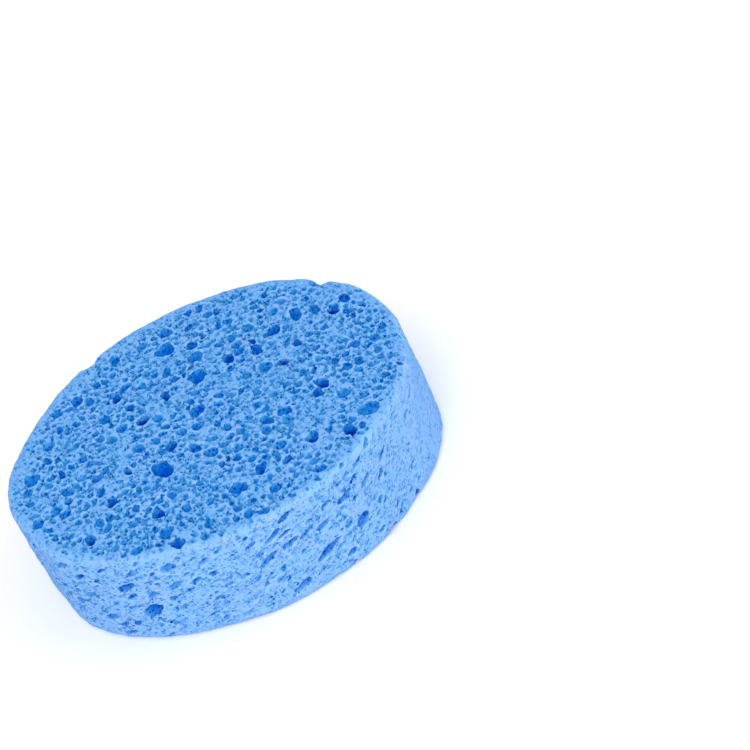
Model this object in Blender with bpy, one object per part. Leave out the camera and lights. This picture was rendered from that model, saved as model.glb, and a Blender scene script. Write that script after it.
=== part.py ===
"""A round facial cleansing sponge: one flat disc of blue cellulose foam, with open pores on every face.

The units are metres and +Z is up. The origin is the middle of the underside, which rests on a table.
A pore is an ellipsoid that opens at the surface. The wide pores come first, at places chosen by hand,
and the rest fill the foam between them at random, each with a wall of foam to its neighbours.
"""

import math

import bmesh
import bpy
import numpy as np
from mathutils import Matrix

# The disc
DIAMETER = 0.075
THICKNESS = 0.0185
RIM_ROUNDING = 0.0011
RIM_STEPS = 3
DISC_SIDES = 88

# The pores. A width is across the middle, and the wall is the least foam between two pores.
WIDEST_PORE = 0.0048
WIDEST_SMALL_PORE = 0.0030
NARROWEST_PORE = 0.0019
LEAST_WALL = 0.0003
SMALL_PORES_ON_TOP = 190
SMALL_PORES_BELOW = 120
SMALL_PORES_ROUND_THE_EDGE = 120
TRIES_FOR_A_PORE = 40
SEED = 7

# A pore is an ellipsoid whose middle stands a little proud of the face. The foam was pressed flat as it
# set, so a pore that the edge of the disc cuts through is drawn out along it.
DEPTH_TO_WIDTH = 1.0
PROUD_SHARE = 0.12
LENGTH_TO_HEIGHT_AT_EDGE = 2.1
UNEVENNESS = 0.2

# The facets of a pore: sides round its mouth, and rings down its wall as shares of its half depth.
WIDE_PIT_SIDES = 9
WIDE_PIT_LEVELS = (0.0, 0.62)
SMALL_PIT_SIDES = 6
SMALL_PIT_LEVELS = (0.0,)
LID_LEVEL = -0.4

# No pore opens at the middle of the underside, where the sponge is measured and stood.
RESTING_SPOT_RADIUS = 0.0035

# The wide pores of the top: bearing in degrees from +X, reach as a share of the radius, and width as a
# share of the widest pore's.
WIDE_PORES_ON_TOP = (
    (227, 0.39, 1.00),
    (321, 0.90, 0.93),
    (87, 0.31, 0.85),
    (97, 0.67, 0.80),
    (43, 0.59, 0.74),
    (312, 0.88, 0.74),
    (173, 0.87, 0.72),
    (94, 0.84, 0.66),
    (44, 0.43, 0.66),
    (113, 0.05, 0.68),
    (84, 0.50, 0.64),
    (273, 0.69, 0.67),
    (247, 0.82, 0.66),
    (38, 0.75, 0.64),
    (312, 0.37, 0.64),
    (252, 0.95, 0.63),
    (62, 0.40, 0.58),
    (219, 0.84, 0.60),
    (264, 0.34, 0.60),
    (217, 0.22, 0.52),
    (25, 0.81, 0.60),
    (305, 0.72, 0.60),
    (341, 0.58, 0.60),
    (156, 0.46, 0.58),
    (147, 0.33, 0.56),
    (331, 0.71, 0.58),
    (140, 0.89, 0.56),
    (296, 0.92, 0.57),
    (196, 0.92, 0.57),
    (129, 0.60, 0.52),
    (240, 0.69, 0.53),
    (284, 0.65, 0.54),
    (118, 0.33, 0.50),
    (213, 0.63, 0.50),
    (75, 0.82, 0.50),
    (22, 0.56, 0.50),
    (191, 0.59, 0.46),
    (195, 0.76, 0.44),
)

# The wide pores round the edge: bearing, height as a share of the thickness, and width as above.
WIDE_PORES_ROUND_THE_EDGE = (
    (236, 0.36, 0.88),
    (247, 0.83, 0.56),
    (233, 0.66, 0.72),
    (222, 0.27, 0.66),
    (298, 0.36, 0.80),
    (306, 0.62, 0.66),
    (296, 0.70, 0.60),
    (291, 0.80, 0.52),
    (279, 0.62, 0.60),
    (277, 0.15, 0.74),
    (60, 0.45, 0.80),
    (100, 0.62, 0.70),
    (140, 0.35, 0.76),
    (172, 0.60, 0.66),
    (15, 0.30, 0.72),
    (345, 0.58, 0.62),
)

# The wide pores of the underside, as on the top.
WIDE_PORES_BELOW = (
    (20, 0.70, 0.90),
    (75, 0.45, 0.72),
    (120, 0.80, 0.80),
    (165, 0.35, 0.64),
    (200, 0.72, 0.76),
    (245, 0.50, 0.66),
    (290, 0.78, 0.84),
    (335, 0.40, 0.70),
    (50, 0.86, 0.60),
    (265, 0.88, 0.60),
)

FOAM_BLUE = (0.13, 0.37, 0.84, 1.0)
FOAM_ROUGHNESS = 0.9
FOAM_METALLIC = 0.0

# An edge that turns more than this is drawn sharp.
SMOOTH_UP_TO = math.radians(35)

# The disc's two rims turn by a right angle before they are rounded, and its other edges hardly turn.
LEAST_TURN_OF_A_RIM = math.radians(45)

UP = np.array((0.0, 0.0, 1.0))


class Pores:
    """The pores placed so far. A shape's columns are an ellipsoid's three half axes."""

    def __init__(self, random):
        self.random = random
        self.centres = np.empty((0, 3))
        self.shapes = np.empty((0, 3, 3))
        self.wide_count = 0

    def has_room(self, centre, shape):
        """Whether a plane with half a wall on each side parts this pore from each of the others."""
        if not len(self.centres):
            return True
        apart = self.centres - centre
        distance = np.linalg.norm(apart, axis=1)
        towards = apart / distance[:, None]
        near_reach = np.linalg.norm(towards @ shape, axis=1)
        far_reach = np.linalg.norm(np.einsum("ni,nij->nj", towards, self.shapes), axis=1)
        return bool((distance - near_reach - far_reach > LEAST_WALL).all())

    def add(self, mouth, along, across, inwards, length, height):
        """Opens a pore where it has room. Its mouth is centred on a point of the surface."""
        depth = DEPTH_TO_WIDTH * math.sqrt(length * height)
        centre = mouth - inwards * PROUD_SHARE * depth / 2
        shape = np.column_stack((along * length / 2, across * height / 2, inwards * depth / 2))
        if not self.has_room(centre, shape):
            return False
        self.centres = np.vstack((self.centres, centre[None]))
        self.shapes = np.concatenate((self.shapes, shape[None]))
        return True

    def add_on_flat(self, bearing, reach, height, width, inwards):
        """Opens a pore in the top or the underside, turned and drawn out a little at random."""
        turn = self.random.uniform(0, math.pi)
        stretch = 1 + UNEVENNESS * self.random.uniform(0, 1)
        return self.add(
            polar(bearing, reach) + height * UP,
            polar(turn, 1),
            polar(turn + math.pi / 2, 1),
            inwards,
            width * stretch,
            width / stretch,
        )

    def add_on_top(self, bearing, reach, width):
        return self.add_on_flat(bearing, reach, THICKNESS, width, -UP)

    def add_below(self, bearing, reach, width):
        if reach < RESTING_SPOT_RADIUS + width / 2:
            return False
        return self.add_on_flat(bearing, reach, 0.0, width, UP)

    def add_at_edge(self, bearing, height, width):
        """Opens a pore in the curved edge, drawn out along it."""
        stretch = math.sqrt(LENGTH_TO_HEIGHT_AT_EDGE) * (1 + UNEVENNESS * self.random.uniform(-1, 1))
        return self.add(
            polar(bearing, DIAMETER / 2) + height * UP,
            polar(bearing + math.pi / 2, 1),
            UP,
            -polar(bearing, 1),
            width * stretch,
            width / stretch,
        )

    def add_wide_pores(self):
        """The pores of the three lists."""
        for bearing, reach, share in WIDE_PORES_ON_TOP:
            self.add_on_top(math.radians(bearing), reach * DIAMETER / 2, share * WIDEST_PORE)
        for bearing, height, share in WIDE_PORES_ROUND_THE_EDGE:
            self.add_at_edge(math.radians(bearing), height * THICKNESS, share * WIDEST_PORE)
        for bearing, reach, share in WIDE_PORES_BELOW:
            self.add_below(math.radians(bearing), reach * DIAMETER / 2, share * WIDEST_PORE)
        self.wide_count = len(self.centres)

    def add_small_pores(self, count, add_one, random_place):
        """Tries chance places for each small pore, from the widest down to the narrowest."""
        for step in range(count):
            width = WIDEST_SMALL_PORE * (NARROWEST_PORE / WIDEST_SMALL_PORE) ** (step / count)
            for _ in range(TRIES_FOR_A_PORE):
                if add_one(*random_place(), width):
                    break

    def somewhere_on_disc(self):
        """(bearing, reach) of a chance place, as likely in each square millimetre as in the next."""
        reach = DIAMETER / 2 * math.sqrt(self.random.uniform(0, 1))
        return self.random.uniform(0, 2 * math.pi), reach

    def somewhere_round_edge(self):
        """(bearing, height) of a chance place."""
        return self.random.uniform(0, 2 * math.pi), self.random.uniform(0, THICKNESS)


def polar(bearing, reach):
    return np.array((reach * math.cos(bearing), reach * math.sin(bearing), 0))


def all_pores():
    """The pores of the whole disc, wide ones first."""
    pores = Pores(np.random.default_rng(SEED))
    pores.add_wide_pores()
    pores.add_small_pores(SMALL_PORES_ON_TOP, pores.add_on_top, pores.somewhere_on_disc)
    pores.add_small_pores(SMALL_PORES_ROUND_THE_EDGE, pores.add_at_edge, pores.somewhere_round_edge)
    pores.add_small_pores(SMALL_PORES_BELOW, pores.add_below, pores.somewhere_on_disc)
    return pores


def pit_form(sides, levels):
    """(points, faces) of a faceted ball of radius 1 that deepens along +Z, with a low lid over its mouth."""
    points = [LID_LEVEL * UP]
    for level in levels:
        reach = math.sqrt(1 - level * level)
        for side in range(sides):
            points.append(polar(2 * math.pi * side / sides, reach) + level * UP)
    points.append(UP)
    last = len(points) - 1
    faces = []
    for side in range(sides):
        after = (side + 1) % sides
        faces.append((0, 1 + side, 1 + after))
        for ring in range(len(levels) - 1):
            here, below = 1 + ring * sides, 1 + (ring + 1) * sides
            faces.append((here + side, below + side, below + after, here + after))
        faces.append((last - sides + side, last, last - sides + after))
    return np.array(points), faces


def pore_cutter(pores):
    """All pores as one mesh of uneven pits, none of which touches another."""
    wide_pit = pit_form(WIDE_PIT_SIDES, WIDE_PIT_LEVELS)
    small_pit = pit_form(SMALL_PIT_SIDES, SMALL_PIT_LEVELS)
    points, faces = [], []
    for number, (centre, shape) in enumerate(zip(pores.centres, pores.shapes)):
        pit_points, pit_faces = wide_pit if number < pores.wide_count else small_pit
        turn = np.array(Matrix.Rotation(pores.random.uniform(0, math.pi), 3, "Z"))
        uneven = 1 - UNEVENNESS * pores.random.uniform(0, 1, (len(pit_points), 1))
        first = len(points)
        points.extend(centre + (pit_points @ turn * uneven) @ shape.T)
        faces.extend([[first + corner for corner in face] for face in pit_faces])
    mesh = bpy.data.meshes.new("pore_cutter")
    mesh.from_pydata([tuple(point) for point in points], [], faces)
    make_faces_point_outwards(mesh)
    cutter = bpy.data.objects.new("pore_cutter", mesh)
    cutter.hide_render = True
    cutter.display_type = "WIRE"
    bpy.context.scene.collection.objects.link(cutter)
    return cutter


def make_faces_point_outwards(mesh):
    form = bmesh.new()
    form.from_mesh(mesh)
    bmesh.ops.recalc_face_normals(form, faces=form.faces)
    form.to_mesh(mesh)
    form.free()


def disc_mesh():
    """The disc before its pores: a cylinder with both rims rounded."""
    form = bmesh.new()
    bmesh.ops.create_cone(
        form,
        cap_ends=True,
        segments=DISC_SIDES,
        radius1=DIAMETER / 2,
        radius2=DIAMETER / 2,
        depth=THICKNESS,
        matrix=Matrix.Translation((0, 0, THICKNESS / 2)),
    )
    rims = [edge for edge in form.edges if edge.calc_face_angle() > LEAST_TURN_OF_A_RIM]
    bmesh.ops.bevel(
        form,
        geom=rims,
        offset=RIM_ROUNDING,
        offset_type="OFFSET",
        segments=RIM_STEPS,
        profile=0.5,
        affect="EDGES",
    )
    mesh = bpy.data.meshes.new("sponge")
    form.to_mesh(mesh)
    form.free()
    return mesh


def foam_material():
    material = bpy.data.materials.new("blue_cellulose_foam")
    material.use_nodes = True
    shader = material.node_tree.nodes["Principled BSDF"]
    shader.inputs["Base Color"].default_value = FOAM_BLUE
    shader.inputs["Roughness"].default_value = FOAM_ROUGHNESS
    shader.inputs["Metallic"].default_value = FOAM_METALLIC
    material.diffuse_color = FOAM_BLUE
    return material


def keep_result(thing):
    """Makes what the modifiers give the object's own mesh."""
    graph = bpy.context.evaluated_depsgraph_get()
    mesh = bpy.data.meshes.new_from_object(thing.evaluated_get(graph))
    thing.modifiers.clear()
    thing.data = mesh


def shade_smoothly(thing):
    """Smooth round the disc and down its pores, sharp at each mouth, and flat on the flat faces."""
    thing.data.shade_smooth()
    thing.data.set_sharp_from_angle(angle=SMOOTH_UP_TO)
    flat_faces = thing.modifiers.new("flat_faces_stay_flat", "WEIGHTED_NORMAL")
    flat_faces.keep_sharp = True


def build_sponge():
    sponge = bpy.data.objects.new("sponge", disc_mesh())
    bpy.context.scene.collection.objects.link(sponge)
    sponge.data.materials.append(foam_material())
    cutter = pore_cutter(all_pores())
    opening = sponge.modifiers.new("open_pores", "BOOLEAN")
    opening.operation = "DIFFERENCE"
    opening.solver = "EXACT"
    opening.object = cutter
    keep_result(sponge)
    bpy.data.objects.remove(cutter, do_unlink=True)
    shade_smoothly(sponge)
    return sponge


def main():
    for old in list(bpy.data.objects):
        bpy.data.objects.remove(old, do_unlink=True)
    build_sponge()


main()
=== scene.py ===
"""A round facial cleansing sponge of blue cellulose foam, lying on a white floor.

The foam is made the way real foam is: bubbles of many sizes press against each other, walls are left
between them, and the disc is cut out of that. All of it is worked out in millimetres on a grid of cells,
and the finest pores are added by the material. A bearing is in degrees from +X, anticlockwise seen from
above.
"""

import math

import bmesh
import bpy
import numpy as np
import openvdb
from mathutils import Matrix, Vector


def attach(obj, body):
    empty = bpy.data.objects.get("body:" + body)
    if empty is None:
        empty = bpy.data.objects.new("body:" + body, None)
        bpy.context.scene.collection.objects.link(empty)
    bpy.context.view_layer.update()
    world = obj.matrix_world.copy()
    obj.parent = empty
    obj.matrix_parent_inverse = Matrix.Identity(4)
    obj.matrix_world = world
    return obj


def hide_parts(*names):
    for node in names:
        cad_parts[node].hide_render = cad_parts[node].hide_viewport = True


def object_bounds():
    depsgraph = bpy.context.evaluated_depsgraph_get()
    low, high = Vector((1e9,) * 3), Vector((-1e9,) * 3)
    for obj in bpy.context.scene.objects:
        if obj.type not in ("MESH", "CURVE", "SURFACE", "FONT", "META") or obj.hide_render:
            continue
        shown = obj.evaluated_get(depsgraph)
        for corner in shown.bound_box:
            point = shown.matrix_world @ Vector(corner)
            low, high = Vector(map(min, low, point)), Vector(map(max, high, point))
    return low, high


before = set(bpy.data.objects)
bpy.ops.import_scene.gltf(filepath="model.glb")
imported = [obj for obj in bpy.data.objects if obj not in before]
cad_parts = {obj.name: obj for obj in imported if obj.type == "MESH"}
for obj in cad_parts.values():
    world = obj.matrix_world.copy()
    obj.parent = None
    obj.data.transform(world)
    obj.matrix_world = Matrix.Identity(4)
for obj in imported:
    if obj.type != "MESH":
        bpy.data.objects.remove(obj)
cad_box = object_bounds()

MM = 0.001

# The disc, as wide and as thick as the part's own
DIAMETER = round((cad_box[1][0] - cad_box[0][0]) / MM, 3)
THICKNESS = round((cad_box[1][2] - cad_box[0][2]) / MM, 3)
RADIUS = DIAMETER / 2
RIM_ROUNDING = 1.3

# The flats turn into the edge over this many times the rim's rounding.
EDGE_BLEND = 1.5

# The grid: how wide a cell is, how far the grid reaches beyond the disc, and the distance that its cells
# start from, which is beyond any bubble's reach
CELL = 0.18
MARGIN = 1.2
FAR = 9.0
SEED = 11

# The surface is thinned to about this many triangles, and an edge that turns more than this is drawn sharp.
MOST_TRIANGLES = 196000
SHARP_ANGLE = math.radians(50)

# The foam has a grain: its bubbles are longer along one bearing, and lower than they are wide, because the
# sheet was drawn out and pressed flat as it set. The grain's bearing and how much it strays, how much
# longer than wide a bubble is, and how high it is beside its width
GRAIN_BEARING = 102
GRAIN_SPREAD = 13
GRAIN_RATIO = (1.2, 1.9)
FLATNESS = 0.62

# The bubbles of the edge are drawn out along it, and climb a little: how long, deep and high one is beside
# its size, how much the length varies, and how far it climbs in its length
EDGE_LENGTH = 1.45
EDGE_LENGTH_RANGE = (0.8, 1.5)
EDGE_DEPTH = 0.62
EDGE_FLATNESS = 0.546
EDGE_SLANT = 0.4

# The least wall between two bubbles, and how far beyond a bubble it still counts for the walls there
WALL = 0.2
WALL_REACH = 0.9

# How far the foam round a point counts towards its fullness
FULLNESS_REACH = 0.36

# Each cell takes this share of its value from either neighbour along each axis, which rounds sharp lips.
SOFTENING = 0.23

# How far the bubbles swell beyond their radius before they meet a wall, by the part of the sponge that
# they open in. Below zero they shrink, and more closed foam is left between them.
SWELLING_OF_FLATS = 0.07
SWELLING_OF_EDGE = -0.02
SWELLING_OF_RIMS = -0.45
SWELLING_OF_CLOSED_END = -0.42

# How far in the rims' closed foam reaches, which is further at the far side, and where that side is
RIM_BAND = 3.0
FAR_RIM_BAND = 5.0
FAR_RIM_BEARING = 120
FAR_RIM_WIDTH = 110

# The end where the edge is almost closed
CLOSED_END_BEARING = 338
CLOSED_END_WIDTH = 40

# Unevenness, as layers of (wavelength, height): how far bubbles are pushed out of shape, how rough their
# walls are, how the rims' closed foam comes and goes, and how the outline strays
WARP = ((2.4, 0.34), (1.1, 0.28), (0.6, 0.18))
ROUGHNESS = ((2.2, 0.08), (1.0, 0.12), (0.45, 0.12))
RIM_UNEVENNESS = ((12.0, 0.3), (4.0, 0.25), (1.6, 0.2))
OUTLINE = ((5.0, 0.12), (1.8, 0.08))

# Bubbles are pushed less up and down than sideways, and the skin is smoother than the pores' walls.
WARP_UPRIGHT = 0.5
SKIN_ROUGHNESS = 0.5

# The skin lies this far inside the plain disc, so that its unevenness stays near the disc's outline.
OUTLINE_INSET = 0.1

# The disc isn't quite round: (bearing, how far its edge stands out there)
OUT_OF_ROUND = (
    (0, -0.1),
    (15, -0.15),
    (30, 0.45),
    (45, 0.2),
    (60, 0.75),
    (75, 0.75),
    (90, 0.7),
    (105, 0.9),
    (120, 0.7),
    (135, 0.15),
    (150, -0.35),
    (165, 0.6),
    (180, 0.65),
    (195, -0.45),
    (210, 0.3),
    (225, 0.1),
    (240, -0.35),
    (255, -0.5),
    (270, 0.0),
    (285, 0.05),
    (300, 0.25),
    (315, -0.2),
    (330, 0.4),
    (345, 0.35),
)

# The wide pores of the top: (bearing, reach as a share of the radius, width, depth). The last ones are
# shallow, pale dishes.
WIDE_PORES_ON_TOP = (
    (227, 0.39, 5.4, 2.6),
    (321, 0.90, 4.4, 1.1),
    (87, 0.31, 4.0, 2.2),
    (97, 0.67, 3.8, 1.8),
    (43, 0.59, 3.5, 3.0),
    (312, 0.88, 3.5, 2.4),
    (173, 0.87, 3.4, 1.0),
    (94, 0.81, 3.1, 1.3),
    (44, 0.45, 3.1, 1.6),
    (113, 0.05, 3.2, 1.4),
    (85, 0.49, 3.0, 1.8),
    (273, 0.69, 3.2, 1.9),
    (247, 0.84, 3.1, 1.4),
    (39, 0.73, 3.0, 1.6),
    (312, 0.38, 3.0, 1.8),
    (251, 0.945, 3.7, 2.2),
    (62, 0.40, 2.8, 1.8),
    (220, 0.86, 2.9, 2.2),
    (264, 0.34, 2.9, 1.2),
    (217, 0.24, 2.5, 1.6),
    (25, 0.81, 2.9, 3.0),
    (306, 0.72, 2.9, 1.8),
    (340, 0.58, 2.9, 2.6),
    (154, 0.44, 2.8, 1.0),
    (148, 0.34, 2.8, 4.6),
    (331, 0.71, 2.8, 1.6),
    (140, 0.89, 2.6, 1.2),
    (296, 0.92, 2.7, 1.5),
    (196, 0.93, 2.7, 1.6),
    (128, 0.60, 2.6, 3.0),
    (122, 0.61, 2.6, 1.8),
    (240, 0.70, 2.5, 1.6),
    (284, 0.65, 2.6, 1.7),
    (321, 0.45, 2.5, 1.4),
    (118, 0.33, 2.5, 3.4),
    (214, 0.64, 2.4, 1.5),
    (75, 0.82, 2.4, 1.5),
    (22, 0.56, 2.4, 1.6),
    (191, 0.59, 2.2, 1.6),
    (195, 0.76, 2.1, 2.8),
    (135, 0.47, 2.3, 2.8),
    (202, 0.46, 2.0, 2.4),
    (177, 0.71, 2.1, 2.2),
    (293, 0.71, 2.1, 2.4),
    (209, 0.75, 1.5, 4.2),
    (245, 0.92, 1.6, 4.2),
    (14, 0.44, 2.3, 2.4),
    (128, 0.41, 3.6, 0.4),
    (358, 0.42, 3.2, 0.4),
    (312, 0.52, 3.2, 0.4),
    (35, 0.28, 3.0, 0.4),
    (246, 0.55, 3.2, 0.4),
    (100, 0.54, 3.6, 0.4),
    (162, 0.67, 3.0, 0.4),
)

# The wide pores round the edge: (bearing, height above the floor as a share of the thickness, width along
# the edge, tallness)
WIDE_PORES_ROUND_THE_EDGE = (
    (236, 0.36, 4.4, 2.9),
    (247, 0.83, 2.8, 1.8),
    (233, 0.66, 4.2, 1.7),
    (222, 0.27, 3.9, 1.6),
    (244, 0.47, 2.2, 1.5),
    (298, 0.36, 3.7, 2.4),
    (309, 0.58, 3.2, 1.4),
    (304, 0.66, 3.4, 1.4),
    (297, 0.70, 3.2, 1.3),
    (291, 0.76, 2.8, 1.2),
    (279, 0.62, 3.2, 1.2),
    (288, 0.60, 2.6, 1.1),
    (305, 0.39, 1.9, 1.2),
    (276, 0.14, 4.2, 1.6),
    (284, 0.16, 2.2, 1.1),
    (291, 0.16, 2.0, 1.3),
    (274, 0.43, 2.2, 1.2),
    (258, 0.65, 2.2, 1.2),
    (60, 0.45, 3.9, 2.0),
    (100, 0.62, 3.4, 1.6),
    (140, 0.35, 3.6, 1.8),
    (172, 0.60, 3.2, 1.5),
    (15, 0.30, 3.2, 1.6),
)

# The wide pores of the underside, as on the top
WIDE_PORES_BELOW = (
    (20, 0.70, 4.3, 1.6),
    (75, 0.45, 3.4, 1.8),
    (120, 0.80, 3.8, 1.2),
    (165, 0.35, 3.1, 2.4),
    (200, 0.72, 3.6, 1.6),
    (245, 0.50, 3.2, 2.8),
    (290, 0.78, 4.0, 1.4),
    (335, 0.40, 3.4, 2.2),
    (50, 0.86, 2.9, 1.6),
    (265, 0.88, 2.9, 2.2),
)

# Bites out of the rims: (bearing, 1 for the top rim and 0 for the lower one, or a little off it, length
# along the rim, depth)
RIM_BITES = (
    (118, 1.0, 4.6, 2.9),
    (41, 1.0, 7.6, 2.8),
    (142, 1.0, 5.0, 1.1),
    (85, 1.0, 3.0, 1.0),
    (10, 1.0, 3.0, 1.0),
    (318, 0.03, 2.6, 1.7),
    (306, 0.0, 4.6, 2.0),
    (298, 0.0, 2.4, 1.5),
    (291, 0.02, 2.8, 1.5),
    (279, 0.0, 2.6, 1.4),
    (215, 0.0, 3.2, 1.2),
    (160, 0.0, 3.6, 1.5),
    (70, 0.0, 3.2, 1.6),
)

# A wide pore is a main ball and lumps that make its outline uneven. As shares of the pore's radius: the main
# ball's radius, how far the lumps lie from its middle, their radius, and how much deeper they lie
LUMPS = 2
MAIN_BALL = 0.84
LUMP_REACH = (0.35, 0.55)
LUMP_SIZE = (0.5, 0.68)
LUMP_SINKING = 0.1

# How far the middle of a wide pore lies under the skin: on the flats as a share of its depth, and at the
# edge as a share of its radius. How deep a pore of the edge is beside its radius
FLAT_PORE_SINKING = 0.1
EDGE_PORE_SINKING = 0.15
EDGE_PORE_DEPTH = 0.9

# A ball is at most this deep, and a deeper pore goes on in a throat of narrower balls: their steps, radius
# and sway. All are shares of the pore's width.
DEEPEST_BALL = 0.62
THROAT_STEP = 0.3
THROAT_RADIUS = 0.33
THROAT_SWAY = 0.12

# The bubbles between the wide pores: (radius, how many are tried per 1000 square millimetres of skin)
SMALL_BUBBLES = (
    (1.25, 8),
    (1.0, 22),
    (0.8, 80),
    (0.65, 190),
    (0.52, 600),
    (0.43, 2600),
    (0.36, 10000),
)

# So many times more of them are tried at the edge.
MORE_AT_THE_EDGE = 1.4

# How deep a small bubble's middle lies under the skin: on the flats as a share of its plain height, and at
# the edge as a share of its radius. Those of the flats are a little higher than plain ones.
FLAT_BUBBLE_LEVELS = (-0.6, 0.6)
EDGE_BUBBLE_LEVELS = (-0.6, 0.3)
FLAT_BUBBLE_HEIGHT = 1.1

# Bubbles of a smaller radius are left out of the underside, which is seldom seen.
NARROWEST_BELOW = 0.5

# The fine pores of the material. How wide, long and high one is beside its size, and how it is pushed out
# of shape, as waves of (size, height)
FINE_GRAIN = (1.0, 1.5, 0.6)
FINE_WAVES = (0.7, 0.35)

# The sets of fine pores: (size, the share that is open, the weight of their bump and painted shade)
FINE_PORES = (
    (1.4, 0.60, 0.35),
    (0.85, 0.70, 0.90),
    (0.5, 0.75, 1.15),
)
# How deep the fine pores' bump is in millimetres, and how much painted shade they add to the tint
FINE_PORE_DEPTH = 0.12
FINE_PORE_PAINTED_SHADE = 0.52

# How far a fine pore's bowl lies from the wall round it, at its rim and where it is full, as shares of the
# pore's size
FINE_BOWL = (0.04, 0.32)

# How much fainter the fine pores are on the edge, how much more so at its closed end, and at the rims
FAINTER_ON_THE_EDGE = 0.15
FAINTER_AT_THE_CLOSED_END = 0.35
FAINTER_AT_THE_RIMS = 0.45

# They are fainter in patches too: the patches' size, the noise at which they begin and end, and the share
# of the pores' depth that they leave
FAINT_PATCH_SIZE = 3.0
FAINT_PATCHES = (0.3, 0.62)
FAINTEST = 0.75

# The foam's tint goes from 0 on thin bright walls to 1 in the deepest pores, and holds painted highlight and
# shade besides the foam's own colour. The skin's own, how much of it the edge loses, and the painted
# highlight on thin lips and the painted shade in the hollows among full foam. The last two go by the
# fullness of the foam round a point.
SKIN_TINT = 0.14
PALER_EDGE = 0.6
PAINTED_LIP_HIGHLIGHT = 0.165
LIP_FULLNESS = (0.3, 0.52)
PAINTED_HOLLOW_SHADE = 0.07
HOLLOW_FULLNESS = (0.5, 0.8)

# The painted shade that depth adds to the tint: on a wall, just under the skin, in a pore, in which each
# millimetre leaves a fifth of the light, and more in the deepest pores. Depths are in millimetres.
PAINTED_WALL_SHADE = 0.13
WALL_DEPTHS = (0.06, 0.32)
LIGHT_LEFT_PER_MILLIMETRE = 0.2
DARKEST_PORES = 0.49
PAINTED_DEEPEST_SHADE = 0.3
DEEPEST_DEPTHS = (0.8, 2.2)

# The painted shade of the edge's pores is this much fainter. The painted shade is mottled: the mottles'
# size, the noise at which they begin and end, and the least share of the shade that they leave
SOFTER_PAINTED_SHADE_ON_THE_EDGE = 0.2
MOTTLE_SIZE = 0.8
MOTTLES = (0.3, 0.7)
LEAST_MOTTLE = 0.6

# The colours by tint, as (tint, linear red, green and blue). The darker ones carry the painted shade.
FOAM_COLOURS = (
    (0.0, (0.27, 0.56, 0.97)),
    (0.12, (0.205, 0.485, 0.94)),
    (0.32, (0.105, 0.362, 0.8)),
    (0.55, (0.018, 0.24, 0.635)),
    (0.78, (0.001, 0.155, 0.53)),
    (1.0, (0.0, 0.08, 0.54)),
)

# A painted blue glow in the foam's deeper pores, which stands in for light that the foam lets in: its
# colour, its full strength, and the depths at which it begins and is full
PAINTED_GLOW_COLOUR = (0.0, 0.02, 1.0)
PAINTED_GLOW_STRENGTH = 0.08
PAINTED_GLOW_DEPTHS = (0.3, 1.2)

# Some patches, and the edge, lean a little towards violet: the cast, its share in the patches and on the
# edge, the patches' size, and the noise at which they begin and end
VIOLET_CAST = (1.22, 0.96, 1.0)
VIOLET_IN_PATCHES = 0.4
VIOLET_ON_THE_EDGE = 0.3
VIOLET_PATCH_SIZE = 5.0
VIOLET_PATCHES = (0.35, 0.65)

# Foam is matt, without any shine.
FOAM_ROUGHNESS = 0.9
FOAM_SHINE = 0.0

# The photograph's camera: it looks along +Y, down at the sponge, and is rolled. Its distance from the
# sponge's middle and the nearest thing that it shows are in metres, and the focal length and the place of
# the sponge's middle in the picture are in pixels.
IMAGE_SIZE = 750
FOCAL_PIXELS = 2400.0
SENSOR_MM = 36.0
CAMERA_ELEVATION = math.radians(32.6)
CAMERA_ROLL = math.radians(-25.4)
CAMERA_DISTANCE = 0.4237
NEAREST_SHOWN = 0.01
SPONGE_CENTRE_IN_IMAGE = (225.1, 450.9)

# The lamps: (name, bearing, elevation, distance and width in metres, watts)
LAMPS = (
    ("key", 262, 40, 0.9, 0.6, 3.35),
    ("fill", 345, 38, 0.9, 0.8, 1.2),
)

# The light from all sides, beside the white that the camera sees there
WORLD_LIGHT = 0.72

# The floor: half its width in metres, its white, and the glow that makes it white in the picture
FLOOR_HALF_WIDTH = 3.0
FLOOR_WHITE = 0.95
FLOOR_GLOW = 0.14


def smooth_step(value):
    """0 up to 0 and 1 from 1 on, with a smooth rise between them."""
    value = np.clip(value, 0, 1)
    return value * value * (3 - 2 * value)


def smooth_noise(shape, step, amplitude, random):
    """Even noise over the grid: chance values at knots `step` millimetres apart, joined smoothly."""
    count = [int(math.ceil(size * CELL / step)) + 2 for size in shape]
    values = random.uniform(-amplitude, amplitude, count).astype(np.float32)
    for axis in range(3):
        place = np.arange(shape[axis], dtype=np.float32) * (CELL / step)
        knot = place.astype(int)
        share = smooth_step(place - knot)
        share = share.reshape([-1 if k == axis else 1 for k in range(3)])
        values = np.take(values, knot, axis) * (1 - share) + np.take(values, knot + 1, axis) * share
    return values


def layered_noise(shape, layers, random):
    """The sum of even noises, one for each (wavelength, height)."""
    return sum(smooth_noise(shape, step, height, random) for step, height in layers)


def made_round(x, y):
    """The coordinates in which the uneven disc is a round one."""
    bearings, heights = zip(*OUT_OF_ROUND)
    here = np.degrees(np.arctan2(y, x))
    share = RADIUS / (RADIUS + np.interp(here, bearings, heights, period=360))
    share = share.astype(np.float32)
    return x * share, y * share


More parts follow.
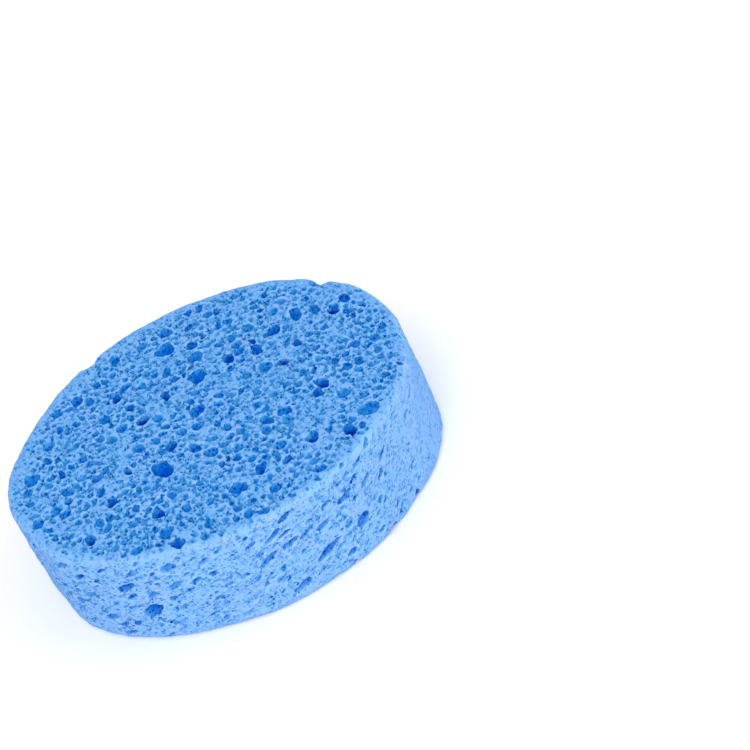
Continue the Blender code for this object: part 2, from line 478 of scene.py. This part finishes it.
class Foam:
    """The bubbles, as two distances in each cell: to the skin of the nearest bubble and of the next one,
    negative inside a bubble. A wide pore is one bubble too."""

    def __init__(self, random):
        self.random = random
        across = np.arange(-RADIUS - MARGIN, RADIUS + MARGIN + CELL / 2, CELL, dtype=np.float32)
        up = np.arange(-MARGIN, THICKNESS + MARGIN + CELL / 2, CELL, dtype=np.float32)
        self.axes = (across, across, up)
        self.shape = tuple(len(axis) for axis in self.axes)
        self.low = np.array([axis[0] for axis in self.axes], np.float64)
        self.first = np.full(self.shape, FAR, np.float32)
        self.second = np.full(self.shape, FAR, np.float32)
        self.round_x, self.round_y = made_round(across[:, None, None], across[None, :, None])
        self.x = self.round_x + layered_noise(self.shape, WARP, random)
        self.y = self.round_y + layered_noise(self.shape, WARP, random)
        self.z = up[None, None, :] + WARP_UPRIGHT * layered_noise(self.shape, WARP, random)

    def cell_at(self, place):
        """The cell that holds a place."""
        cell = np.rint((place - self.low) / CELL).astype(int)
        return tuple(np.clip(cell, 0, np.array(self.shape) - 1))

    def has_room(self, centre, radius):
        """Whether a bubble fits between the ones before it. The grid's coordinates are pushed about, so the
        cell is looked up where they come to the centre."""
        cell = self.cell_at(centre)
        push = np.array((self.x[cell], self.y[cell], self.z[cell])) - self.low - np.array(cell) * CELL
        return self.first[self.cell_at(centre - push)] > radius + WALL

    def add(self, balls, turn, stretch, slant=0.0):
        """Adds one bubble, made of balls that run together: (centre, radius) each, stretched alike and
        turned alike. With a slant it climbs along its length."""
        along, across, upright = stretch
        wide = max(along, across)
        tall = upright + slant * along
        spread = np.array([(radius + WALL_REACH) * np.array((wide, wide, tall)) for _, radius in balls])
        centres = np.array([centre for centre, _ in balls])
        low = np.floor(((centres - spread).min(0) - self.low) / CELL).astype(int)
        high = np.ceil(((centres + spread).max(0) - self.low) / CELL).astype(int) + 1
        low, high = np.maximum(low, 0), np.minimum(high, self.shape)
        if (high <= low).any():
            return
        span = tuple(slice(a, b) for a, b in zip(low, high))
        x, y, z = self.x[span], self.y[span], self.z[span]
        c, s = math.cos(turn), math.sin(turn)
        distance = None
        for centre, radius in balls:
            dx, dy, dz = x - np.float32(centre[0]), y - np.float32(centre[1]), z - np.float32(centre[2])
            length = dx * c + dy * s
            u = length * np.float32(1 / along)
            v = (dy * c - dx * s) * np.float32(1 / across)
            w = (dz - np.float32(slant) * length) * np.float32(1 / upright)
            one = np.sqrt(u * u + v * v + w * w) - np.float32(radius)
            distance = one if distance is None else np.minimum(distance, one)
        first, second = self.first[span], self.second[span]
        np.minimum(second, np.maximum(first, distance), out=second)
        np.minimum(first, distance, out=first)

    def lumps(self, centre, radius, turn, stretch, inwards):
        """The balls of a wide pore: a main one and lumps that make its outline uneven."""
        balls = [(centre, radius * MAIN_BALL)]
        c, s = math.cos(turn), math.sin(turn)
        for _ in range(LUMPS):
            bearing = self.random.uniform(0, 2 * math.pi)
            reach = radius * self.random.uniform(*LUMP_REACH)
            u = reach * math.cos(bearing) * stretch[0]
            v = reach * math.sin(bearing) * stretch[1]
            offset = np.array((u * c - v * s, u * s + v * c, 0)) + inwards * radius * LUMP_SINKING
            balls.append((centre + offset, radius * self.random.uniform(*LUMP_SIZE)))
        return balls

    def add_flat_pore(self, bearing, reach, width, depth, height, inwards):
        """A wide pore of the top or the underside. A deep one goes on in a throat."""
        bearing = math.radians(bearing)
        mouth = np.array((reach * math.cos(bearing), reach * math.sin(bearing), height))
        own_depth = min(depth, width * DEEPEST_BALL)
        upright = own_depth / (1 + FLAT_PORE_SINKING) / (width / 2)
        turn, along = self.grain()
        stretch = (along, 1 / along, upright)
        centre = mouth + inwards * FLAT_PORE_SINKING * own_depth
        balls = self.lumps(centre, width / 2, turn, stretch, inwards)
        for level in np.arange(own_depth, depth, width * THROAT_STEP):
            sway = self.random.uniform(-THROAT_SWAY, THROAT_SWAY, 2)
            sideways = np.array((*sway, 0)) * width
            balls.append((mouth + inwards * level + sideways, width * THROAT_RADIUS))
        self.add(balls, turn, stretch)

    def add_edge_pore(self, bearing, height, width, tallness):
        """A wide pore of the edge, drawn out along it."""
        bearing = math.radians(bearing)
        out = np.array((math.cos(bearing), math.sin(bearing), 0))
        turn = bearing + math.pi / 2
        radius = 0.5 * math.sqrt(width * tallness)
        stretch = (width / 2 / radius, EDGE_PORE_DEPTH, tallness / 2 / radius)
        centre = out * RADIUS + np.array((0, 0, height)) - out * radius * EDGE_PORE_SINKING
        self.add(self.lumps(centre, radius, turn, stretch, -out), turn, stretch, EDGE_SLANT)

    def add_rim_bite(self, bearing, height, length, depth):
        """A bite out of a rim, which a round bubble outside the rim makes where it reaches in."""
        bearing = math.radians(bearing)
        out = np.array((math.cos(bearing), math.sin(bearing), 0))
        outwards = out + np.array((0, 0, 1.0 if height > 0.5 else -1.0))
        corner = out * RADIUS + np.array((0, 0, height * THICKNESS))
        radius = length / 2
        centre = corner + outwards / math.sqrt(2) * (radius - depth)
        stretch = (1.0, 1.0, 1.0)
        self.add(self.lumps(centre, radius, bearing, stretch, -out), bearing, stretch)

    def grain(self):
        """(turn, stretch along it) of one bubble."""
        turn = math.radians(GRAIN_BEARING + GRAIN_SPREAD * self.random.normal())
        return turn, math.sqrt(self.random.uniform(*GRAIN_RATIO))

    def add_wide_pores(self):
        """The bites and the wide pores of the lists."""
        up = np.array((0, 0, 1.0))
        for bearing, height, length, depth in RIM_BITES:
            self.add_rim_bite(bearing, height, length, depth)
        for bearing, reach, width, depth in WIDE_PORES_ON_TOP:
            self.add_flat_pore(bearing, reach * RADIUS, width, depth, THICKNESS, -up)
        for bearing, height, width, tallness in WIDE_PORES_ROUND_THE_EDGE:
            self.add_edge_pore(bearing, height * THICKNESS, width, tallness)
        for bearing, reach, width, depth in WIDE_PORES_BELOW:
            self.add_flat_pore(bearing, reach * RADIUS, width, depth, 0.0, up)

    def add_small_bubbles(self):
        """Fills what is left near the skin, from the widest bubbles down to the narrowest."""
        flat_area = math.pi * RADIUS**2
        edge_area = math.pi * DIAMETER * THICKNESS
        for radius, density in SMALL_BUBBLES:
            for _ in range(int(density * flat_area / 1000)):
                self.add_small_flat_bubble(radius, THICKNESS, -1)
            if radius > NARROWEST_BELOW:
                for _ in range(int(density * flat_area / 1000)):
                    self.add_small_flat_bubble(radius, 0.0, 1)
            for _ in range(int(density * MORE_AT_THE_EDGE * edge_area / 1000)):
                self.add_small_edge_bubble(radius)

    def add_small_flat_bubble(self, radius, height, inwards):
        """Tries one bubble at a chance place of the top or the underside. `inwards` is -1 or 1 along Z."""
        bearing = self.random.uniform(0, 2 * math.pi)
        reach = RADIUS * math.sqrt(self.random.uniform(0, 1))
        depth = OUTLINE_INSET + radius * FLATNESS * self.random.uniform(*FLAT_BUBBLE_LEVELS)
        turn, along = self.grain()
        centre = np.array((reach * math.cos(bearing), reach * math.sin(bearing), height + inwards * depth))
        if self.has_room(centre, radius):
            self.add([(centre, radius)], turn, (along, 1 / along, FLATNESS * FLAT_BUBBLE_HEIGHT))

    def add_small_edge_bubble(self, radius):
        """Tries one bubble at a chance place of the edge."""
        bearing = self.random.uniform(0, 2 * math.pi)
        height = self.random.uniform(0, THICKNESS)
        reach = RADIUS - OUTLINE_INSET - radius * self.random.uniform(*EDGE_BUBBLE_LEVELS)
        lengthening = EDGE_LENGTH * self.random.uniform(*EDGE_LENGTH_RANGE)
        centre = np.array((reach * math.cos(bearing), reach * math.sin(bearing), height))
        if self.has_room(centre, radius):
            stretch = (lengthening, EDGE_DEPTH, EDGE_FLATNESS)
            self.add([(centre, radius)], bearing + math.pi / 2, stretch, EDGE_SLANT)


def skin_distance(x, y, z):
    """Signed distance to the plain disc with rounded rims, negative inside."""
    outwards = np.hypot(x, y) - (RADIUS - RIM_ROUNDING)
    upwards = np.abs(z - THICKNESS / 2) - (THICKNESS / 2 - RIM_ROUNDING)
    corner = np.hypot(np.maximum(outwards, 0), np.maximum(upwards, 0))
    return corner + np.minimum(np.maximum(outwards, upwards), 0) - RIM_ROUNDING


def edge_share(x, y, z):
    """0 on the flats and 1 on the edge, turning over across the rim's rounding."""
    outwards = np.hypot(x, y) - RADIUS
    upwards = np.abs(z - THICKNESS / 2) - THICKNESS / 2
    return smooth_step((outwards - upwards) / RIM_ROUNDING / EDGE_BLEND + 0.5)


def share_at(x, y, bearing, width):
    """1 at one bearing, falling to 0 at `width` degrees on both sides of it."""
    away = np.degrees(np.arctan2(y, x)) - bearing
    away = np.abs((away + 180) % 360 - 180)
    return 1 - smooth_step(away / width)


def closed_end_share(x, y):
    """1 where the edge is almost closed."""
    return share_at(x, y, CLOSED_END_BEARING, CLOSED_END_WIDTH)


def rim_share(x, y, z, unevenness=0.0):
    """1 at the two rims, falling to 0 across the rim band on both sides of them. The band is widest at
    the far side."""
    outwards = np.maximum(RADIUS - np.hypot(x, y), 0)
    upwards = np.maximum(THICKNESS / 2 - np.abs(z - THICKNESS / 2), 0)
    band = RIM_BAND + (FAR_RIM_BAND - RIM_BAND) * share_at(x, y, FAR_RIM_BEARING, FAR_RIM_WIDTH)
    return 1 - smooth_step(np.hypot(outwards, upwards) / band + unevenness)


def swelling(x, y, z, unevenness):
    """How far bubbles swell beyond their radius at a place."""
    edge = edge_share(x, y, z)
    of_edge = SWELLING_OF_EDGE + (SWELLING_OF_CLOSED_END - SWELLING_OF_EDGE) * closed_end_share(x, y)
    plain = SWELLING_OF_FLATS * (1 - edge) + of_edge * edge
    rim = rim_share(x, y, z, unevenness)
    return plain * (1 - rim) + np.minimum(plain, SWELLING_OF_RIMS) * rim


def blurred(values, steps):
    """The mean over a cube of cells that reaches `steps` cells each way."""
    for axis in range(3):
        pad = [(steps + 1, steps) if k == axis else (0, 0) for k in range(3)]
        total = np.cumsum(np.pad(values, pad), axis=axis, dtype=np.float32)
        count = values.shape[axis]
        upper = np.take(total, range(2 * steps + 1, 2 * steps + 1 + count), axis)
        lower = np.take(total, range(count), axis)
        values = (upper - lower) / (2 * steps + 1)
    return values


def softened(values):
    """The values with each cell evened out a little with its neighbours."""
    for axis in range(3):
        last = values.shape[axis] - 1
        before = np.take(values, np.maximum(np.arange(last + 1) - 1, 0), axis)
        after = np.take(values, np.minimum(np.arange(last + 1) + 1, last), axis)
        values = values * (1 - 2 * SOFTENING) + (before + after) * SOFTENING
    return values


def foam_surface():
    """(points, quads, low, fields): the disc's surface with its pores, and over the grid that starts at
    `low` how deep each cell lies below the skin, and how full of foam the space round it is."""
    random = np.random.default_rng(SEED)
    foam = Foam(random)
    foam.add_wide_pores()
    foam.add_small_bubbles()
    x, y, z = foam.round_x, foam.round_y, foam.axes[2][None, None, :]
    rough = layered_noise(foam.shape, ROUGHNESS, random)
    walls = (WALL - (foam.second - foam.first)) * 0.5
    unevenness = layered_noise(foam.shape, RIM_UNEVENNESS, random)
    swollen = swelling(x, y, z, unevenness).astype(np.float32)
    pore = np.maximum(foam.first - swollen + rough, walls)
    skin = skin_distance(x, y, z).astype(np.float32) + OUTLINE_INSET
    skin += layered_noise(foam.shape, OUTLINE, random)
    solid = softened(np.clip(np.maximum(skin + rough * SKIN_ROUGHNESS, -pore), -1, 1))
    grid = openvdb.FloatGrid(1.0)
    grid.copyFromArray(solid, tolerance=0.0)
    points, _, quads = grid.convertToPolygons(isovalue=0.0, adaptivity=0.0)
    fullness = blurred(np.clip(0.5 - solid / CELL, 0, 1), int(round(FULLNESS_REACH / CELL)))
    fields = {"depth": -skin, "fullness": fullness}
    return (points * CELL + foam.low).astype(np.float32), quads, foam.low, fields


def mesh_of(name, points, quads):
    """A mesh of the points in metres, with its faces' corners given as rows of four."""
    mesh = bpy.data.meshes.new(name)
    mesh.vertices.add(len(points))
    mesh.vertices.foreach_set("co", points.ravel())
    mesh.loops.add(len(quads) * 4)
    mesh.loops.foreach_set("vertex_index", quads.astype(np.int32).ravel())
    mesh.polygons.add(len(quads))
    mesh.polygons.foreach_set("loop_start", np.arange(0, len(quads) * 4, 4, dtype=np.int32))
    mesh.update(calc_edges=True)
    return mesh


def connected_parts(form):
    """The sets of vertices that edges join."""
    left = set(form.verts)
    while left:
        start = left.pop()
        part = {start}
        front = [start]
        while front:
            vertex = front.pop()
            for edge in vertex.link_edges:
                other = edge.other_vert(vertex)
                if other in left:
                    left.discard(other)
                    part.add(other)
                    front.append(other)
        yield part


def drop_crumbs(mesh):
    """Keeps the sponge's own surface and deletes crumbs of foam and closed cells that touch nothing."""
    form = bmesh.new()
    form.from_mesh(mesh)
    parts = sorted(connected_parts(form), key=len)
    crumbs = [vertex for part in parts[:-1] for vertex in part]
    bmesh.ops.delete(form, geom=crumbs, context="VERTS")
    form.to_mesh(mesh)
    form.free()


def build_foam():
    """The sponge, as one closed surface."""
    points, quads, low, fields = foam_surface()
    mesh = mesh_of("sponge_foam", points * MM, quads)
    foam = bpy.data.objects.new("sponge_foam", mesh)
    bpy.context.scene.collection.objects.link(foam)
    thinning = foam.modifiers.new("thinning", "DECIMATE")
    thinning.ratio = MOST_TRIANGLES / (2 * len(quads))
    graph = bpy.context.evaluated_depsgraph_get()
    foam.data = bpy.data.meshes.new_from_object(foam.evaluated_get(graph))
    foam.modifiers.clear()
    drop_crumbs(foam.data)
    foam.data.shade_smooth()
    foam.data.set_sharp_from_angle(angle=SHARP_ANGLE)
    add_attributes(foam.data, low, fields)
    return foam


def at_places(values, cells):
    """The grid's values at places between its cells, joined evenly."""
    low = np.clip(np.floor(cells).astype(int), 0, np.array(values.shape) - 2)
    share = cells - low
    total = 0.0
    for corner in np.ndindex(2, 2, 2):
        weight = np.prod(np.where(corner, share, 1 - share), axis=1)
        total = total + weight * values[tuple((low + corner).T)]
    return total


def add_attributes(mesh, low, fields):
    """Gives each vertex what the material goes by: its depth below the skin in millimetres and how full of
    foam the space round it is, which the painted shade, highlights and glow go by, and how far it belongs to
    the edge, a rim and the closed end."""
    places = np.empty(len(mesh.vertices) * 3, np.float32)
    mesh.vertices.foreach_get("co", places)
    places = places.reshape(-1, 3) / MM
    values = {name: at_places(field, (places - low) / CELL) for name, field in fields.items()}
    x, y = made_round(*places.T[:2])
    values["edge"] = edge_share(x, y, places[:, 2])
    values["rim"] = rim_share(x, y, places[:, 2])
    values["closed"] = values["edge"] * closed_end_share(x, y)
    for name, value in values.items():
        attribute = mesh.attributes.new(name, "FLOAT", "POINT")
        attribute.data.foreach_set("value", value.astype(np.float32))


class Nodes:
    """Shorthand for building the node tree of a material or a world."""

    def __init__(self, owner):
        owner.use_nodes = True
        self.tree = owner.node_tree

    def new(self, kind):
        return self.tree.nodes.new(kind)

    def put(self, socket, value):
        """Sets a socket to a value, or links it to another node's output."""
        if isinstance(value, bpy.types.NodeSocket):
            self.tree.links.new(value, socket)
        else:
            socket.default_value = value

    def math(self, operation, first, second):
        node = self.new("ShaderNodeMath")
        node.operation = operation
        self.put(node.inputs[0], first)
        self.put(node.inputs[1], second)
        return node.outputs[0]

    def add(self, first, second):
        return self.math("ADD", first, second)

    def subtract(self, first, second):
        return self.math("SUBTRACT", first, second)

    def multiply(self, first, second):
        return self.math("MULTIPLY", first, second)

    def attribute(self, name):
        node = self.new("ShaderNodeAttribute")
        node.attribute_name = name
        return node.outputs["Fac"]

    def place(self):
        """The place in the object in millimetres, with the foam's grain and slant taken out of it."""
        coordinates = self.new("ShaderNodeTexCoord")
        turned = self.new("ShaderNodeMapping")
        turned.vector_type = "TEXTURE"
        slant = -math.atan(EDGE_SLANT)
        bearing = math.radians(GRAIN_BEARING - 90)
        self.put(turned.inputs["Rotation"], (0, slant, bearing))
        self.put(turned.inputs["Vector"], coordinates.outputs["Object"])
        scaled = self.new("ShaderNodeMapping")
        self.put(scaled.inputs["Scale"], [1 / MM / share for share in FINE_GRAIN])
        self.put(scaled.inputs["Vector"], turned.outputs["Vector"])
        return scaled.outputs["Vector"]

    def texture(self, kind, place, size):
        """A noise or cell texture whose waves or cells have the given size."""
        node = self.new(kind)
        self.put(node.inputs["Scale"], 1 / size)
        self.put(node.inputs["Vector"], place)
        return node

    def wavy(self, place, size, height):
        """The place, pushed about by chance waves."""
        waves = self.texture("ShaderNodeTexNoise", place, size)
        push = self.new("ShaderNodeVectorMath")
        push.operation = "MULTIPLY_ADD"
        self.put(push.inputs[0], waves.outputs["Color"])
        self.put(push.inputs[1], (height, height, height))
        self.put(push.inputs[2], place)
        return push.outputs["Vector"]

    def noise(self, place, size):
        return self.texture("ShaderNodeTexNoise", place, size).outputs["Fac"]

    def cells(self, place, size, feature):
        node = self.texture("ShaderNodeTexVoronoi", place, size)
        node.feature = feature
        return node

    def ramp(self, value, stops):
        """The colour for a value between stops of (value, colour)."""
        node = self.new("ShaderNodeValToRGB")
        elements = node.color_ramp.elements
        while len(elements) < len(stops):
            elements.new(0.5)
        for element, (position, colour) in zip(elements, stops):
            element.position = position
            element.color = (*colour, 1)
        self.put(node.inputs["Fac"], value)
        return node.outputs["Color"]

    def multiplied(self, colour, by, share):
        """The colour, multiplied by another one as far as the share says. The node's other inputs and
        outputs are for other kinds of value."""
        node = self.new("ShaderNodeMix")
        node.data_type = "RGBA"
        node.blend_type = "MULTIPLY"
        factor, first, second = (node.inputs[k] for k in (0, 6, 7))
        self.put(factor, share)
        self.put(first, colour)
        self.put(second, (*by, 1))
        return node.outputs[2]

    def map_range(self, value, low, high, to_low=0.0, to_high=1.0):
        """A smooth rise or fall from `to_low` at `low` to `to_high` at `high`."""
        node = self.new("ShaderNodeMapRange")
        node.interpolation_type = "SMOOTHSTEP"
        self.put(node.inputs["Value"], value)
        self.put(node.inputs["From Min"], low)
        self.put(node.inputs["From Max"], high)
        self.put(node.inputs["To Min"], to_low)
        self.put(node.inputs["To Max"], to_high)
        return node.outputs["Result"]


def fine_pores(nodes, place, size, open_share):
    """Depth in 0 to 1 of one set of fine pores: bowls between thin walls, each with its own chance depth."""
    to_wall = nodes.cells(place, size, "DISTANCE_TO_EDGE").outputs["Distance"]
    bowl = nodes.map_range(to_wall, *FINE_BOWL)
    chance = nodes.new("ShaderNodeSeparateColor")
    nodes.put(chance.inputs["Color"], nodes.cells(place, size, "F1").outputs["Color"])
    own_depth = nodes.map_range(chance.outputs["Red"], 1 - open_share, 1.0)
    return nodes.multiply(bowl, own_depth)


def all_fine_pores(nodes, place):
    """The sets together, fainter on the edge, at the rims and in patches."""
    total = 0.0
    for size, open_share, bump_and_painted_shade in FINE_PORES:
        pores = fine_pores(nodes, place, size, open_share)
        total = nodes.add(total, nodes.multiply(pores, bump_and_painted_shade))
    of_edge = nodes.multiply(nodes.attribute("edge"), FAINTER_ON_THE_EDGE)
    of_closed_end = nodes.multiply(nodes.attribute("closed"), FAINTER_AT_THE_CLOSED_END)
    of_rims = nodes.multiply(nodes.attribute("rim"), FAINTER_AT_THE_RIMS)
    fainter = nodes.math("MAXIMUM", nodes.add(of_edge, of_closed_end), of_rims)
    total = nodes.multiply(total, nodes.subtract(1.0, fainter))
    noise = nodes.noise(place, FAINT_PATCH_SIZE)
    patches = nodes.map_range(noise, *FAINT_PATCHES, FAINTEST, 1.0)
    return nodes.multiply(total, patches)


def painted_shade_of_depth(nodes, place):
    """The painted shade that the depth below the skin adds to the tint, fainter on the edge."""
    depth = nodes.math("MAXIMUM", nodes.attribute("depth"), 0.0)
    shade = nodes.subtract(1.0, nodes.math("POWER", LIGHT_LEFT_PER_MILLIMETRE, depth))
    noise = nodes.noise(place, MOTTLE_SIZE)
    mottled = nodes.map_range(noise, *MOTTLES, LEAST_MOTTLE * DARKEST_PORES, DARKEST_PORES)
    tint = nodes.multiply(shade, mottled)
    tint = nodes.add(tint, nodes.map_range(depth, *WALL_DEPTHS, 0.0, PAINTED_WALL_SHADE))
    tint = nodes.add(tint, nodes.map_range(depth, *DEEPEST_DEPTHS, 0.0, PAINTED_DEEPEST_SHADE))
    paler = nodes.multiply(nodes.attribute("edge"), SOFTER_PAINTED_SHADE_ON_THE_EDGE)
    return nodes.multiply(tint, nodes.subtract(1.0, paler))


def foam_tint(nodes, place, fine):
    """The tint, from 0 for thin bright walls to 1 for the deepest pores: the skin's own, paler on the edge,
    with painted shade by depth and in the fine pores, a painted highlight on thin lips and painted shade in
    the hollows among full foam.
    """
    paler = nodes.multiply(nodes.attribute("edge"), SKIN_TINT * PALER_EDGE)
    # The pores' painted shade by depth, on the skin's own tint
    tint = nodes.add(painted_shade_of_depth(nodes, place), SKIN_TINT)
    tint = nodes.subtract(tint, paler)
    # The fine pores' painted shade
    tint = nodes.add(tint, nodes.multiply(fine, FINE_PORE_PAINTED_SHADE))
    fullness = nodes.attribute("fullness")
    # A painted highlight on thin lips, and painted shade in the hollows among full foam
    lips = nodes.map_range(fullness, *LIP_FULLNESS, PAINTED_LIP_HIGHLIGHT, 0.0)
    hollows = nodes.map_range(fullness, *HOLLOW_FULLNESS, 0.0, PAINTED_HOLLOW_SHADE)
    return nodes.add(nodes.subtract(tint, lips), hollows)


def foam_colour(nodes, place, fine):
    """The colour of the tint, with its violet cast."""
    colour = nodes.ramp(foam_tint(nodes, place, fine), FOAM_COLOURS)
    noise = nodes.noise(place, VIOLET_PATCH_SIZE)
    violet = nodes.map_range(noise, *VIOLET_PATCHES, 0.0, VIOLET_IN_PATCHES)
    violet = nodes.add(violet, nodes.multiply(nodes.attribute("edge"), VIOLET_ON_THE_EDGE))
    return nodes.multiplied(colour, VIOLET_CAST, violet)


def foam_material():
    """Matt blue foam, with its fine pores as bump and painted shade, painted shade and highlights in its
    colour, and a painted glow in its deeper pores.
    """
    material = bpy.data.materials.new("blue_cellulose")
    nodes = Nodes(material)
    place = nodes.wavy(nodes.place(), *FINE_WAVES)
    fine = all_fine_pores(nodes, place)
    bump = nodes.new("ShaderNodeBump")
    bump.invert = True
    nodes.put(bump.inputs["Strength"], 1.0)
    nodes.put(bump.inputs["Distance"], FINE_PORE_DEPTH * MM)
    nodes.put(bump.inputs["Height"], fine)
    # A painted glow in the deeper pores
    painted_glow = nodes.map_range(nodes.attribute("depth"), *PAINTED_GLOW_DEPTHS, 0.0, PAINTED_GLOW_STRENGTH)
    shader = nodes.tree.nodes["Principled BSDF"]
    nodes.put(shader.inputs["Base Color"], foam_colour(nodes, place, fine))
    nodes.put(shader.inputs["Roughness"], FOAM_ROUGHNESS)
    nodes.put(shader.inputs["Specular IOR Level"], FOAM_SHINE)
    nodes.put(shader.inputs["Emission Color"], (*PAINTED_GLOW_COLOUR, 1))
    nodes.put(shader.inputs["Emission Strength"], painted_glow)
    nodes.put(shader.inputs["Normal"], bump.outputs["Normal"])
    # The painted glow is too faint to light other things, and takes long to render as a lamp.
    material.cycles.emission_sampling = "NONE"
    return material


def camera_axes():
    """(right, up, back): the camera's axes in the world."""
    back = Vector((0, -math.cos(CAMERA_ELEVATION), math.sin(CAMERA_ELEVATION)))
    right = Vector((1, 0, 0))
    up = back.cross(right)
    turn = Matrix.Rotation(CAMERA_ROLL, 3, back)
    return turn @ right, turn @ up, back


def add_camera():
    """Places the camera so that the sponge's middle comes where the photograph has it."""
    right, up, back = camera_axes()
    middle = IMAGE_SIZE / 2
    aside = (SPONGE_CENTRE_IN_IMAGE[0] - middle) / FOCAL_PIXELS
    above = (middle - SPONGE_CENTRE_IN_IMAGE[1]) / FOCAL_PIXELS
    aim = Vector((aside, above, -1)).normalized()
    towards = right * aim.x + up * aim.y + back * aim.z
    data = bpy.data.cameras.new("camera")
    data.sensor_width = SENSOR_MM
    data.lens = FOCAL_PIXELS / IMAGE_SIZE * SENSOR_MM
    data.clip_start = NEAREST_SHOWN
    camera = bpy.data.objects.new("camera", data)
    place = Vector((0, 0, THICKNESS / 2 * MM)) - towards * CAMERA_DISTANCE
    basis = Matrix((right, up, back)).transposed()
    camera.matrix_world = Matrix.Translation(place) @ basis.to_4x4()
    bpy.context.scene.collection.objects.link(camera)
    bpy.context.scene.camera = camera


def add_lamp(name, bearing, elevation, distance, size, power):
    """A round soft lamp that faces the sponge."""
    bearing = math.radians(bearing)
    elevation = math.radians(elevation)
    level = distance * math.cos(elevation)
    height = distance * math.sin(elevation)
    place = Vector((level * math.cos(bearing), level * math.sin(bearing), height))
    data = bpy.data.lights.new(name, "AREA")
    data.shape = "DISK"
    data.size = size
    data.energy = power
    lamp = bpy.data.objects.new(name, data)
    lamp.location = place
    lamp.rotation_euler = (-place).to_track_quat("-Z", "Y").to_euler()
    bpy.context.scene.collection.objects.link(lamp)


def add_floor():
    """A plain white floor, which glows a little for the camera alone, so that it is white in the picture."""
    half = FLOOR_HALF_WIDTH
    corners = [(-half, -half, 0), (half, -half, 0), (half, half, 0), (-half, half, 0)]
    mesh = bpy.data.meshes.new("floor")
    mesh.from_pydata(corners, [], [(0, 1, 2, 3)])
    floor = bpy.data.objects.new("floor", mesh)
    bpy.context.scene.collection.objects.link(floor)
    material = bpy.data.materials.new("white_floor")
    nodes = Nodes(material)
    path = nodes.new("ShaderNodeLightPath")
    shader = nodes.tree.nodes["Principled BSDF"]
    nodes.put(shader.inputs["Base Color"], (FLOOR_WHITE, FLOOR_WHITE, FLOOR_WHITE, 1))
    nodes.put(shader.inputs["Roughness"], 1.0)
    nodes.put(shader.inputs["Emission Color"], (1, 1, 1, 1))
    glow = nodes.multiply(path.outputs["Is Camera Ray"], FLOOR_GLOW)
    nodes.put(shader.inputs["Emission Strength"], glow)
    mesh.materials.append(material)


def add_world():
    """Soft light from all sides, which the camera, mirrors and glass see as plain white."""
    world = bpy.data.worlds.new("studio")
    bpy.context.scene.world = world
    nodes = Nodes(world)
    path = nodes.new("ShaderNodeLightPath")
    seen = path.outputs["Is Camera Ray"]
    for kind in ("Is Glossy Ray", "Is Transmission Ray"):
        seen = nodes.math("MAXIMUM", seen, path.outputs[kind])
    background = nodes.tree.nodes["Background"]
    nodes.put(background.inputs["Color"], (1, 1, 1, 1))
    nodes.put(background.inputs["Strength"], nodes.map_range(seen, 0.0, 1.0, WORLD_LIGHT, 1.0))


foam = build_foam()
foam.data.materials.clear()
foam.data.materials.append(foam_material())
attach(foam, "root")
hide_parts("sponge")
add_camera()
for lamp in LAMPS:
    add_lamp(*lamp)
add_floor()
add_world()
bpy.context.scene.view_settings.view_transform = "Standard"
